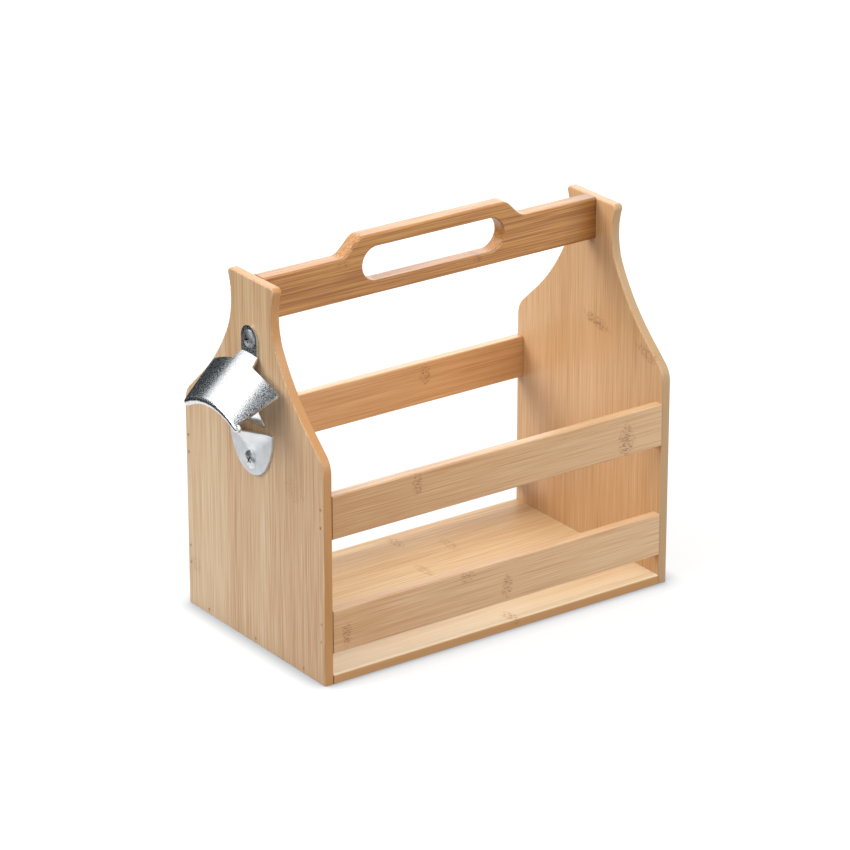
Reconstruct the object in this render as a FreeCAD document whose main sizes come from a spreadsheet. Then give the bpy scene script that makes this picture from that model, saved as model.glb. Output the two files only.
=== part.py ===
import FreeCAD
import Part
import Sketcher
import math
import os

# Bottle caddy: bamboo end panels, base, slats and handle, with a plated opener on the left panel.
# Millimetres. X runs along the caddy, the front is -Y, Z is up, and the underside lies at z = 0.

DRIVING_DIMENSIONS = [
    ("length", 275.0, "over the outer faces of the end panels"),
    ("depth", 158.5, "front to back"),
    ("panel_thick", 6.6, "end panel board"),
    ("panel_height", 251.0, "top of the end panels"),
    ("shoulder_height", 150.4, "where the straight sides meet the shoulder slope"),
    ("shoulder_angle", 42.3, "shoulder slope above level, degrees"),
    ("shoulder_round", 16.0, "round of the shoulder corner"),
    ("flank_radius", 146.0, "slow curve from the shoulder to the neck"),
    ("neck_radius", 50.0, "tight curve of the neck"),
    ("neck_half_width", 23.0, "narrowest half width"),
    ("neck_height", 231.0, "height of the narrowest place"),
    ("crown_round", 3.0, "round of the panel's top corners"),
    ("panel_round", 1.2, "sanded edge of the end panels"),
    ("base_thick", 6.5, "base board"),
    ("base_round", 1.6, "sanded long edges of the base"),
    ("slat_thick", 7.0, "slat, front to back"),
    ("slat_height", 29.6, "slat, top to bottom"),
    ("lower_slat_bottom", 20.9, "underside of the lower slats"),
    ("upper_slat_bottom", 99.3, "underside of the upper slats"),
    ("slat_round", 1.0, "sanded edge of the slats"),
    ("handle_thick", 11.4, "handle board"),
    ("handle_bottom", 222.3, "underside of the handle"),
    ("hump_top", 263.1, "top of the handle's raised middle"),
    ("hump_half_length", 64.0, "to the middle of the hump's flank"),
    ("hump_crest_round", 8.0, "upper round of the hump's flank"),
    ("hump_foot_round", 10.0, "lower round of the hump's flank"),
    ("slot_half_length", 55.4, "hand slot, to its round end"),
    ("slot_bottom", 231.1, "underside of the hand slot"),
    ("slot_height", 23.0, "hand slot, top to bottom"),
    ("handle_round", 1.6, "sanded edge of the handle"),
    ("fit_gap", 0.05, "radial room round a fastener"),
    ("brad_radius", 0.7, "brad shank"),
    ("brad_length", 22.0, "brad under its head"),
    ("brad_head_radius", 1.0, "brad head"),
    ("brad_head_thick", 1.0, "brad head"),
    ("brad_sink", 0.2, "brad head below the panel face"),
    ("slat_brad_pitch", 12.0, "the two brads of a slat end"),
    ("base_brad_pitch", 55.0, "the three brads of a base end"),
    ("dowel_radius", 3.0, "handle dowel"),
    ("dowel_length", 14.0, "handle dowel"),
    ("dowel_in_panel", 4.0, "dowel depth in the panel"),
    ("dowel_pitch", 15.0, "the two dowels of a handle end"),
    ("sheet_thick", 1.6, "opener sheet"),
    ("tab_half_width", 8.8, "opener tab"),
    ("upper_screw_height", 211.0, "upper opener screw"),
    ("lower_screw_height", 129.0, "lower opener screw"),
    ("bend_height", 201.6, "crease between tab and hood"),
    ("hood_tilt", 40.8, "fall of the hood below level, degrees"),
    ("hood_radius", 76.0, "arch of the hood"),
    ("hood_neck", 7.4, "hood neck, from the crease to its corner"),
    ("hood_neck_half_width", 10.9, "hood neck at its corner"),
    ("hood_back", 12.2, "hood's back corner, from the crease"),
    ("hood_back_half_width", 37.6, "hood at its back corners"),
    ("hood_corner_round", 2.5, "hood's back corners"),
    ("hood_rim_half_width", 29.4, "hood at its rim"),
    ("hood_rim_along", 41.7, "rim corner, from the crease"),
    ("hood_reach", 32.2, "rim, out from the panel"),
    ("rim_bead_radius", 2.9, "rolled bead of the rim"),
    ("rim_bead_sink", 0.2, "bead below the hood's outer face"),
    ("rim_arch_radius", 59.0, "arch of the rim seen from the end"),
    ("shield_half_width", 24.6, "scoop's flat shield, at its top"),
    ("shield_flank_radius", 42.0, "curved sides of the shield"),
    ("shield_tip_round", 20.0, "rounded lower tip of the shield"),
    ("lip_height", 152.6, "lip that lifts the cap, and top of the shield"),
    ("lip_reach", 15.2, "lip, out from the panel before its ridge is rounded"),
    ("ridge_round", 8.0, "ridge of the pressed-out pocket"),
    ("pocket_foot", 135.6, "lower end of the pressed-out pocket"),
    ("pocket_foot_reach", 1.5, "pocket at its lower end, out from the panel"),
    ("crease_round", 9.0, "soft bend where the pocket leaves the shield"),
    ("pocket_wall", 2.2, "wall of the pocket, measured straight out from the panel"),
    ("strip_half_width", 6.5, "stay behind the hood"),
    ("strip_top", 186.3, "stay where it bends out to the hood"),
    ("strut_length", 12.0, "bent end of the stay, before it is cut to the hood"),
    ("strip_flare", 168.2, "stay where it starts to widen"),
    ("foot_height", 157.2, "widened foot of the stay"),
    ("foot_half_width", 15.8, "widened foot of the stay"),
    ("foot_bottom", 155.6, "lower edge of the stay, above the lip"),
    ("foot_bottom_half_width", 14.0, "lower edge of the stay"),
    ("screw_head_radius", 6.0, "opener screw head"),
    ("screw_head_height", 1.8, "opener screw head"),
    ("screw_radius", 1.9, "opener screw shank"),
    ("screw_length", 7.4, "opener screw under its head"),
    ("screw_head_side", 0.5, "upright side of the opener screw head"),
    ("screw_tip", 2.6, "point of the opener screw"),
    ("pilot_depth", 6.0, "opener screw holes in the left panel"),
    ("upper_screw_turn", 20.0, "turn of the upper screw's cross, degrees"),
    ("lower_screw_turn", 62.0, "turn of the lower screw's cross, degrees"),
    ("drive_length", 5.2, "cross recess, end to end"),
    ("drive_width", 0.95, "cross recess, each slot"),
    ("drive_depth", 0.8, "cross recess"),
]

NO_ROTATION = FreeCAD.Rotation()
ALONG_X = FreeCAD.Rotation(FreeCAD.Vector(0, 1, 0), 90)
AGAINST_X = FreeCAD.Rotation(FreeCAD.Vector(0, 1, 0), -90)

doc = FreeCAD.newDocument("bottle_caddy")
sheet = doc.addObject("Spreadsheet::Sheet", "dims")
for row, (alias, value, note) in enumerate(DRIVING_DIMENSIONS, start=1):
    sheet.set("A%d" % row, note)
    sheet.set("B%d" % row, str(value))
    sheet.setAlias("B%d" % row, alias)
doc.recompute()

nodes = []


def dim(alias):
    return float(sheet.get(alias))


def point(x, y):
    return FreeCAD.Vector(x, y, 0)


# Bodies, sketches and their driven sizes

def make_body(label):
    body = doc.addObject("PartDesign::Body", label)
    body.Label = label
    return body


def origin_plane(body, role):
    return [item for item in body.Origin.OriginFeatures if item.Role == role][0]


def make_sketch(body, name, role, offset=None):
    sketch = body.newObject("Sketcher::SketchObject", name)
    sketch.AttachmentSupport = (origin_plane(body, role), [""])
    sketch.MapMode = "FlatFace"
    if offset is not None:
        sketch.setExpression(".AttachmentOffset.Base.z", offset)
    return sketch


def drive(sketch, kind, references, value, expression):
    index = sketch.addConstraint(Sketcher.Constraint(kind, *references, value))
    sketch.setExpression("Constraints[%d]" % index, expression)


def constrain(sketch, kind, *references):
    sketch.addConstraint(Sketcher.Constraint(kind, *references))


def drive_place(sketch, index, end, x, y, x_expression, y_expression):
    if x_expression == "0":
        constrain(sketch, "PointOnObject", index, end, -2)
    else:
        drive(sketch, "DistanceX", (-1, 1, index, end), x, x_expression)
    if y_expression == "0":
        constrain(sketch, "PointOnObject", index, end, -1)
    else:
        drive(sketch, "DistanceY", (-1, 1, index, end), y, y_expression)


def add_polygon(sketch, corners):
    first = len(sketch.Geometry)
    count = len(corners)
    for k in range(count):
        sketch.addGeometry(Part.LineSegment(corners[k], corners[(k + 1) % count]), False)
    for k in range(count):
        constrain(sketch, "Coincident", first + k, 2, first + (k + 1) % count, 1)
    return first


def add_symmetric_polygon(sketch, half, axis):
    # half lists (x, y, x expression, y expression) on one side of the sketch axis: -1 level, -2 upright
    flip_x, flip_y = (-1, 1) if axis == -2 else (1, -1)
    near = [point(x, y) for x, y, _, _ in half]
    far = [point(flip_x * p.x, flip_y * p.y) for p in reversed(near)]
    first = add_polygon(sketch, near + far)
    last = first + 2 * len(half) - 1
    for k, (x, y, x_expression, y_expression) in enumerate(half):
        constrain(sketch, "Symmetric", first + k, 1, last - k, 1, axis)
        drive_place(sketch, first + k, 1, x, y, x_expression, y_expression)


def add_rectangle(sketch, width, height, width_expression, height_expression):
    x = width / 2
    y = height / 2
    first = add_polygon(sketch, [point(-x, -y), point(x, -y), point(x, y), point(-x, y)])
    for k, kind in enumerate(("Horizontal", "Vertical", "Horizontal", "Vertical")):
        constrain(sketch, kind, first + k)
    constrain(sketch, "Symmetric", first, 1, first + 1, 2, -1, 1)
    drive(sketch, "DistanceX", (first, 1, first, 2), width, width_expression)
    drive(sketch, "DistanceY", (first + 1, 1, first + 1, 2), height, height_expression)


def add_circle(sketch, x, y, radius, x_expression, y_expression, radius_expression):
    circle = Part.Circle(point(x, y), FreeCAD.Vector(0, 0, 1), radius)
    index = sketch.addGeometry(circle, False)
    drive(sketch, "Radius", (index,), radius, radius_expression)
    drive_place(sketch, index, 3, x, y, x_expression, y_expression)


def pad(body, name, sketch, length_expression, symmetric=False):
    feature = body.newObject("PartDesign::Pad", name)
    feature.Profile = sketch
    feature.SideType = "Symmetric" if symmetric else "One side"
    feature.setExpression("Length", length_expression)
    doc.recompute()
    return feature


def pocket(body, name, sketch, depth_expression=None, reverse=False, symmetric=False):
    before = body.Shape.Volume
    feature = body.newObject("PartDesign::Pocket", name)
    feature.Profile = sketch
    feature.Reversed = reverse
    feature.SideType = "Symmetric" if symmetric else "One side"
    if depth_expression is None:
        feature.Type = "ThroughAll"
    else:
        feature.setExpression("Length", depth_expression)
    doc.recompute()
    if body.Shape.Volume > before - 1e-3:
        raise RuntimeError("%s in %s cuts nothing" % (name, body.Label))
    return feature


def mirror_across(body, name, features, role):
    mirrored = body.newObject("PartDesign::Mirrored", name)
    mirrored.Originals = features
    mirrored.MirrorPlane = (origin_plane(body, role), [""])
    body.Tip = mirrored
    doc.recompute()


def round_edges(body, name, radius_expression, wanted):
    base = body.Tip
    names = ["Edge%d" % (k + 1) for k, edge in enumerate(base.Shape.Edges) if wanted(edge)]
    if not names:
        raise RuntimeError("%s finds no edge in %s" % (name, body.Label))
    feature = body.newObject("PartDesign::Fillet", name)
    feature.Base = (base, names)
    feature.setExpression("Radius", radius_expression)
    doc.recompute()


def place(item, x, y, z, rotation=NO_ROTATION):
    item.Placement = FreeCAD.Placement(FreeCAD.Vector(0, 0, 0), rotation)
    for axis, expression in (("x", x), ("y", y), ("z", z)):
        item.setExpression(".Placement.Base.%s" % axis, expression)


def along(edge, axis):
    ends = [vertex.Point for vertex in edge.Vertexes]
    if len(ends) < 2 or edge.Curve.TypeId != "Part::GeomLine":
        return False
    span = ends[1] - ends[0]
    return abs(getattr(span, axis)) > 0.999 * span.Length


def middle(edge):
    return edge.valueAt((edge.FirstParameter + edge.LastParameter) / 2)


# Brad and dowel places, shared by the boards that they join

SLAT_LAYOUT = {
    "front_upper_slat": (-1, "upper_slat_bottom"),
    "front_lower_slat": (-1, "lower_slat_bottom"),
    "rear_upper_slat": (1, "upper_slat_bottom"),
    "rear_lower_slat": (1, "lower_slat_bottom"),
}
PAIR = (-0.5, 0.5)
BASE_BRAD_STEPS = (-1, 0, 1)


def slat_depth_place(side):
    value = side * (dim("depth") - dim("slat_thick")) / 2
    return value, "%d * (dims.depth - dims.slat_thick) / 2" % side


def slat_height_place(bottom):
    value = dim(bottom) + dim("slat_height") / 2
    return value, "dims.%s + dims.slat_height / 2" % bottom


def brad_places():
    places = {}
    for label, (side, bottom) in SLAT_LAYOUT.items():
        y, y_expression = slat_depth_place(side)
        z, z_expression = slat_height_place(bottom)
        places[label] = [
            (y, z + k * dim("slat_brad_pitch"), y_expression,
             "%s + %s * dims.slat_brad_pitch" % (z_expression, k))
            for k in PAIR
        ]
    places["base"] = [
        (k * dim("base_brad_pitch"), dim("base_thick") / 2,
         "%d * dims.base_brad_pitch" % k, "dims.base_thick / 2")
        for k in BASE_BRAD_STEPS
    ]
    return places


BRAD_PLACES = brad_places()
HANDLE_MIDDLE = "(dims.handle_bottom + dims.panel_height) / 2"
HANDLE_MIDDLE_HEIGHT = (dim("handle_bottom") + dim("panel_height")) / 2
BETWEEN_PANELS = "(dims.length - 2 * dims.panel_thick)"
BRAD_REACH = "(dims.brad_sink + dims.brad_head_thick + dims.brad_length)"
BRAD_IN_BOARD = BRAD_REACH + " - dims.panel_thick + 4 * dims.fit_gap"
DOWEL_IN_HANDLE = "dims.dowel_length - dims.dowel_in_panel + dims.fit_gap"


# End panels

def bottle_outline(sketch):
    half = dim("depth") / 2
    top = dim("panel_height")
    slope = math.radians(dim("shoulder_angle"))
    flank = dim("flank_radius")
    neck = dim("neck_radius")
    neck_centre = point(dim("neck_half_width") + neck, dim("neck_height"))
    shoulder = point(half, dim("shoulder_height"))
    uphill = point(-math.cos(slope), math.sin(slope))
    outward = point(math.sin(slope), math.cos(slope))
    # the flank's centre keeps its radius from the slope and touches the neck's circle from outside
    start = shoulder + outward * flank - neck_centre
    reach = start.dot(uphill)
    run = -reach - math.sqrt(reach ** 2 - start.dot(start) + (flank - neck) ** 2)
    flank_centre = shoulder + outward * flank + uphill * run
    slope_end = flank_centre - outward * flank
    flank_end = flank_centre + (neck_centre - flank_centre).normalize() * flank
    crown = point(neck_centre.x - math.sqrt(neck ** 2 - (top - neck_centre.y) ** 2), top)

    def mirrored(p):
        return point(-p.x, p.y)

    def arc(centre, radius, first, last):
        circle = Part.Circle(centre, FreeCAD.Vector(0, 0, 1), radius)
        return Part.ArcOfCircle(circle, circle.parameter(first), circle.parameter(last))

    foot = point(half, 0)
    sketch.addGeometry([
        Part.LineSegment(mirrored(foot), foot),
        Part.LineSegment(foot, shoulder),
        Part.LineSegment(shoulder, slope_end),
        arc(flank_centre, flank, flank_end, slope_end),
        arc(neck_centre, neck, crown, flank_end),
        Part.LineSegment(crown, mirrored(crown)),
        arc(mirrored(neck_centre), neck, mirrored(flank_end), mirrored(crown)),
        arc(mirrored(flank_centre), flank, mirrored(slope_end), mirrored(flank_end)),
        Part.LineSegment(mirrored(slope_end), mirrored(shoulder)),
        Part.LineSegment(mirrored(shoulder), mirrored(foot)),
    ], False)
    for corner in ((0, 2, 1, 1), (1, 2, 2, 1), (4, 1, 5, 1), (5, 2, 6, 2), (8, 2, 9, 1), (9, 2, 0, 1)):
        constrain(sketch, "Coincident", *corner)
    for smooth in ((2, 2, 3, 2), (3, 1, 4, 2), (6, 1, 7, 2), (7, 1, 8, 1)):
        constrain(sketch, "Tangent", *smooth)
    for pair in ((0, 1, 0, 2), (1, 2, 9, 1), (5, 1, 5, 2), (2, 2, 8, 1)):
        constrain(sketch, "Symmetric", *pair, -2)
    constrain(sketch, "Vertical", 1)
    constrain(sketch, "PointOnObject", 0, 1, -1)
    constrain(sketch, "Equal", 3, 7)
    constrain(sketch, "Equal", 4, 6)
    drive(sketch, "DistanceX", (0, 1, 0, 2), 2 * half, "dims.depth")
    drive(sketch, "DistanceY", (1, 1, 1, 2), shoulder.y, "dims.shoulder_height")
    drive(sketch, "Angle", (2,), math.pi - slope, "(180 - dims.shoulder_angle) * 1 deg")
    drive(sketch, "Radius", (3,), flank, "dims.flank_radius")
    drive(sketch, "Radius", (4,), neck, "dims.neck_radius")
    drive(sketch, "DistanceX", (-1, 1, 4, 3), neck_centre.x, "dims.neck_half_width + dims.neck_radius")
    drive(sketch, "DistanceY", (-1, 1, 4, 3), neck_centre.y, "dims.neck_height")
    drive(sketch, "DistanceY", (-1, 1, 5, 1), top, "dims.panel_height")


def end_panel(label, side):
    body = make_body(label)
    outline = make_sketch(body, label + "_outline", "YZ_Plane")
    bottle_outline(outline)
    pad(body, label + "_board", outline, "dims.panel_thick")

    def shoulder_corner(edge):
        return along(edge, "x") and abs(middle(edge).z - dim("shoulder_height")) < 0.1

    def crown_corner(edge):
        return along(edge, "x") and abs(middle(edge).z - dim("panel_height")) < 0.1

    def face_edge(edge):
        spot = middle(edge)
        on_face = min(abs(spot.x), abs(spot.x - dim("panel_thick"))) < 0.01
        return on_face and spot.z > 0.1 and not along(edge, "x")

    round_edges(body, label + "_shoulders", "dims.shoulder_round", shoulder_corner)
    round_edges(body, label + "_crown", "dims.crown_round", crown_corner)
    round_edges(body, label + "_sanding", "dims.panel_round", face_edge)

    brads = make_sketch(body, label + "_brad_places", "YZ_Plane")
    for places in BRAD_PLACES.values():
        for y, z, y_expression, z_expression in places:
            radius = dim("brad_head_radius") + dim("fit_gap")
            add_circle(brads, y, z, radius, y_expression, z_expression,
                       "dims.brad_head_radius + dims.fit_gap")
    pocket(body, label + "_brad_holes", brads, reverse=True)

    inner_face = "dims.panel_thick" if side < 0 else None
    dowels = make_sketch(body, label + "_dowel_places", "YZ_Plane", inner_face)
    for k in PAIR:
        radius = dim("dowel_radius") + dim("fit_gap")
        height = HANDLE_MIDDLE_HEIGHT + k * dim("dowel_pitch")
        add_circle(dowels, 0, height, radius, "0", "%s + %s * dims.dowel_pitch" % (HANDLE_MIDDLE, k),
                   "dims.dowel_radius + dims.fit_gap")
    pocket(body, label + "_dowel_holes", dowels, "dims.dowel_in_panel + dims.fit_gap", reverse=side > 0)

    if side < 0:
        pilots = make_sketch(body, label + "_pilot_places", "YZ_Plane")
        for height in ("upper_screw_height", "lower_screw_height"):
            radius = dim("screw_radius") + dim("fit_gap")
            add_circle(pilots, 0, dim(height), radius, "0", "dims." + height,
                       "dims.screw_radius + dims.fit_gap")
        pocket(body, label + "_pilot_holes", pilots, "dims.pilot_depth", reverse=True)
    place(body, "-dims.length / 2" if side < 0 else "dims.length / 2 - dims.panel_thick", "0", "0")
    nodes.append(body)


# Base and slats

def plain_board(label, width, height, round_expression, rounded, brads):
    body = make_body(label)
    section = make_sketch(body, label + "_section", "YZ_Plane")
    add_rectangle(section, dim(width), dim(height), "dims." + width, "dims." + height)
    pad(body, label + "_board", section, BETWEEN_PANELS, symmetric=True)
    round_edges(body, label + "_sanding", round_expression, rounded)
    ends = make_sketch(body, label + "_brad_places", "YZ_Plane", BETWEEN_PANELS + " / 2")
    for y, z, y_expression, z_expression in brads:
        radius = dim("brad_radius") + dim("fit_gap")
        add_circle(ends, y, z, radius, y_expression, z_expression, "dims.brad_radius + dims.fit_gap")
    holes = pocket(body, label + "_brad_holes", ends, BRAD_IN_BOARD)
    mirror_across(body, label + "_far_brad_holes", [holes], "YZ_Plane")
    nodes.append(body)
    return body


def base_board():
    brads = [(y, 0, y_expression, "0") for y, z, y_expression, z_expression in BRAD_PLACES["base"]]

    def upper_long_edge(edge):
        return along(edge, "x") and middle(edge).z > 0

    body = plain_board("base_board", "depth", "base_thick", "dims.base_round", upper_long_edge, brads)
    place(body, "0", "0", "dims.base_thick / 2")


def slat(label, side, bottom):
    brads = [(0, k * dim("slat_brad_pitch"), "0", "%s * dims.slat_brad_pitch" % k) for k in PAIR]

    def long_edge(edge):
        return along(edge, "x")

    body = plain_board(label, "slat_thick", "slat_height", "dims.slat_round", long_edge, brads)
    place(body, "0", slat_depth_place(side)[1], slat_height_place(bottom)[1])


# Handle with its raised middle and hand slot

def handle_board():
    label = "handle_board"
    body = make_body(label)
    end = dim("length") / 2 - dim("panel_thick")
    low = dim("handle_bottom")
    step = dim("panel_height")
    high = dim("hump_top")
    half_rise = (high - step) / 2
    foot = dim("hump_half_length") + half_rise
    crest = dim("hump_half_length") - half_rise
    outline = make_sketch(body, "handle_outline", "XZ_Plane")
    rise = "(dims.hump_top - dims.panel_height) / 2"
    add_symmetric_polygon(outline, [
        (end, low, BETWEEN_PANELS + " / 2", "dims.handle_bottom"),
        (end, step, BETWEEN_PANELS + " / 2", "dims.panel_height"),
        (foot, step, "dims.hump_half_length + " + rise, "dims.panel_height"),
        (crest, high, "dims.hump_half_length - " + rise, "dims.hump_top"),
    ], -2)
    pad(body, "handle_body", outline, "dims.handle_thick", symmetric=True)

    def flank_edge(edge, x, z):
        spot = middle(edge)
        return along(edge, "y") and abs(abs(spot.x) - x) < 0.1 and abs(spot.z - z) < 0.1

    round_edges(body, "handle_feet", "dims.hump_foot_round", lambda edge: flank_edge(edge, foot, step))
    round_edges(body, "handle_crests", "dims.hump_crest_round", lambda edge: flank_edge(edge, crest, high))

    slot = make_sketch(body, "hand_slot", "XZ_Plane")
    radius = dim("slot_height") / 2
    reach = dim("slot_half_length") - radius
    centre = dim("slot_bottom") + radius
    normal = FreeCAD.Vector(0, 0, 1)
    quarter = math.pi / 2
    slot.addGeometry([
        Part.LineSegment(point(-reach, centre - radius), point(reach, centre - radius)),
        Part.ArcOfCircle(Part.Circle(point(reach, centre), normal, radius), -quarter, quarter),
        Part.LineSegment(point(reach, centre + radius), point(-reach, centre + radius)),
        Part.ArcOfCircle(Part.Circle(point(-reach, centre), normal, radius), quarter, 3 * quarter),
    ], False)
    for smooth in ((0, 2, 1, 1), (1, 2, 2, 1), (2, 2, 3, 1), (3, 2, 0, 1)):
        constrain(slot, "Tangent", *smooth)
    constrain(slot, "Symmetric", 0, 1, 0, 2, -2)
    constrain(slot, "Equal", 1, 3)
    drive(slot, "Radius", (1,), radius, "dims.slot_height / 2")
    drive(slot, "DistanceX", (-1, 1, 1, 3), reach, "dims.slot_half_length - dims.slot_height / 2")
    drive(slot, "DistanceY", (-1, 1, 1, 3), centre, "dims.slot_bottom + dims.slot_height / 2")
    pocket(body, "handle_slot", slot, "2 * dims.handle_thick", symmetric=True)

    def face_edge(edge):
        spot = middle(edge)
        at_end = abs(abs(spot.x) - end) < 0.1
        return abs(abs(spot.y) - dim("handle_thick") / 2) < 0.01 and not at_end

    round_edges(body, "handle_sanding", "dims.handle_round", face_edge)

    ends = make_sketch(body, "handle_dowel_places", "YZ_Plane", BETWEEN_PANELS + " / 2")
    for k in PAIR:
        height = HANDLE_MIDDLE_HEIGHT + k * dim("dowel_pitch")
        add_circle(ends, 0, height, dim("dowel_radius") + dim("fit_gap"), "0",
                   "%s + %s * dims.dowel_pitch" % (HANDLE_MIDDLE, k), "dims.dowel_radius + dims.fit_gap")
    holes = pocket(body, "handle_dowel_holes", ends, DOWEL_IN_HANDLE)
    mirror_across(body, "handle_far_dowel_holes", [holes], "YZ_Plane")
    nodes.append(body)


# Brads and dowels

def cylinder(name, radius_expression, length_expression, x, y, z, rotation=ALONG_X):
    solid = doc.addObject("Part::Cylinder", name)
    solid.setExpression("Radius", radius_expression)
    solid.setExpression("Height", length_expression)
    place(solid, x, y, z, rotation)
    return solid


def compound(label, members):
    group = doc.addObject("Part::Compound", label)
    group.Label = label
    group.Links = members
    nodes.append(group)


def end_sides():
    for side, rotation in ((-1, ALONG_X), (1, AGAINST_X)):
        face = "%d * (dims.length / 2 - dims.brad_sink)" % side
        yield side, rotation, face


def brad(name, side, rotation, face, y, z):
    under_head = "%s - %d * dims.brad_head_thick" % (face, side)
    head = cylinder(name + "_head", "dims.brad_head_radius", "dims.brad_head_thick",
                    face, y, z, rotation)
    shank = cylinder(name + "_shank", "dims.brad_radius", "dims.brad_length",
                     under_head, y, z, rotation)
    whole = doc.addObject("Part::Fuse", name)
    whole.Base = head
    whole.Tool = shank
    return whole


def brad_groups():
    for board, places in BRAD_PLACES.items():
        by_side = {}
        for side, rotation, face in end_sides():
            stem = board + ("_left_brad" if side < 0 else "_right_brad")
            by_side[side] = [
                brad("%s%d" % (stem, k), side, rotation, face, y, z)
                for k, (_, _, y, z) in enumerate(places)
            ]
        if board == "base":
            compound("left_base_brads", by_side[-1])
            compound("right_base_brads", by_side[1])
        else:
            compound(board + "_brads", by_side[-1] + by_side[1])


def handle_dowels():
    for side, rotation, _ in end_sides():
        word = "left" if side < 0 else "right"
        deep_end = "%d * (dims.length / 2 - dims.panel_thick + dims.dowel_in_panel)" % side
        members = [
            cylinder("%s_dowel%d" % (word, k), "dims.dowel_radius", "dims.dowel_length", deep_end, "0",
                     "%s + %s * dims.dowel_pitch" % (HANDLE_MIDDLE, share), rotation)
            for k, share in enumerate(PAIR)
        ]
        compound(word + "_handle_dowels", members)


# Opener: hood with its tab, stay behind the hood, scoop under it, and two screws

WALL = "(-dims.length / 2)"
TAB_FACE = WALL + " - dims.sheet_thick"
CREASE_OVERLAP = 1.6
RIM_ALLOWANCE = 1.2
STRUT_ANGLE = 45
POCKET_OVERLAP = 3
CREASE_ROOM = 1.0
BELOW_LIP = 0.99


def box(name, x, y, z, length, width, height):
    solid = doc.addObject("Part::Box", name)
    for property_name, expression in (("Length", length), ("Width", width), ("Height", height)):
        solid.setExpression(property_name, expression)
    place(solid, x, y, z)
    return solid


def join(kind, name, members):
    result = doc.addObject(kind, name)
    result.Shapes = members
    return result


def cut(name, base, tool):
    result = doc.addObject("Part::Cut", name)
    result.Base = base
    result.Tool = tool
    return result


# The hood's local frame has x down the slope from the crease, y across and z into the sheet

HOOD_TURN = FreeCAD.Rotation(FreeCAD.Vector(0, 1, 0), 180 - dim("hood_tilt"))
CREASE = (TAB_FACE, "0", "dims.bend_height")


def hood_arch(name, sheets_inside):
    body = make_body(name)
    ring = make_sketch(body, name + "_ring", "YZ_Plane")
    for k in sheets_inside:
        radius = dim("hood_radius") - k * dim("sheet_thick")
        add_circle(ring, 0, dim("hood_radius"), radius, "0", "dims.hood_radius",
                   "dims.hood_radius - %d * dims.sheet_thick" % k)
    pad(body, name + "_round", ring, "4 * dims.hood_rim_along", symmetric=True)
    place(body, *CREASE, HOOD_TURN)
    return body


def hood_sheet():
    narrowing = dim("hood_back_half_width") - dim("hood_rim_half_width")
    taper = narrowing / (dim("hood_rim_along") - dim("hood_back"))
    taper_expression = ("(dims.hood_back_half_width - dims.hood_rim_half_width)"
                        " / (dims.hood_rim_along - dims.hood_back)")
    beyond = RIM_ALLOWANCE - 1
    far_half_width = dim("hood_rim_half_width") - taper * beyond * dim("hood_rim_along")
    far_expression = "dims.hood_rim_half_width - %s * %s * dims.hood_rim_along" % (taper_expression, beyond)
    plan = make_body("hood_plan")
    outline = make_sketch(plan, "hood_outline", "XY_Plane")
    add_symmetric_polygon(outline, [
        (0, dim("tab_half_width"), "0", "dims.tab_half_width"),
        (dim("hood_neck"), dim("hood_neck_half_width"), "dims.hood_neck", "dims.hood_neck_half_width"),
        (dim("hood_back"), dim("hood_back_half_width"), "dims.hood_back", "dims.hood_back_half_width"),
        (RIM_ALLOWANCE * dim("hood_rim_along"), far_half_width,
         "%s * dims.hood_rim_along" % RIM_ALLOWANCE, far_expression),
    ], -1)
    pad(plan, "hood_prism", outline, "dims.hood_radius", symmetric=True)

    def back_corner(edge):
        return along(edge, "z") and abs(abs(middle(edge).y) - dim("hood_back_half_width")) < 0.1

    round_edges(plan, "hood_back_corners", "dims.hood_corner_round", back_corner)
    place(plan, *CREASE, HOOD_TURN)
    reach = "(dims.hood_reach - dims.rim_bead_radius * (1 - sin(dims.hood_tilt * 1 deg)))"
    room = box("hood_room", "%s - %s" % (WALL, reach), "-dims.depth / 2", "0", reach, "dims.depth",
               "dims.panel_height")
    return join("Part::MultiCommon", "hood_sheet", [plan, hood_arch("hood_tube", (0, 1)), room])


def rim_bead():
    # the bead follows the arch in an upright plane, just under the hood's outer face
    share = math.asin(dim("hood_rim_half_width") / dim("rim_arch_radius"))
    centre_line = dim("rim_arch_radius") - dim("rim_bead_radius")
    bead = doc.addObject("Part::Torus", "rim_bead_arch")
    bead.setExpression("Radius1", "dims.rim_arch_radius - dims.rim_bead_radius")
    bead.setExpression("Radius2", "dims.rim_bead_radius")
    bead.setExpression("Angle3", "2 * asin(dims.hood_rim_half_width / dims.rim_arch_radius)")
    x = WALL + " - dims.hood_reach + dims.rim_bead_radius"
    run = "(dims.hood_reach - dims.rim_bead_radius - dims.sheet_thick)"
    fall = run + " * tan(dims.hood_tilt * 1 deg)"
    crest = "dims.bend_height - %s - dims.rim_bead_radius / cos(dims.hood_tilt * 1 deg)" % fall
    hub = "%s - dims.rim_bead_sink - dims.rim_arch_radius + dims.rim_bead_radius" % crest
    upright = FreeCAD.Rotation(FreeCAD.Vector(0, 1, 0), FreeCAD.Vector(0, 0, 1), FreeCAD.Vector(1, 0, 0),
                               "ZXY")
    spin = FreeCAD.Rotation(FreeCAD.Vector(1, 0, 0), 90 - math.degrees(share))
    place(bead, x, "0", hub, spin.multiply(upright))
    parts = [bead]
    for side, word in ((-1, "front"), (1, "rear")):
        knob = doc.addObject("Part::Sphere", "rim_bead_%s_end" % word)
        knob.setExpression("Radius", "dims.rim_bead_radius")
        across = side * centre_line * math.sin(share)
        place(knob, x, str(across), "%s + %s" % (hub, centre_line * math.cos(share)))
        parts.append(knob)
    return parts


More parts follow.
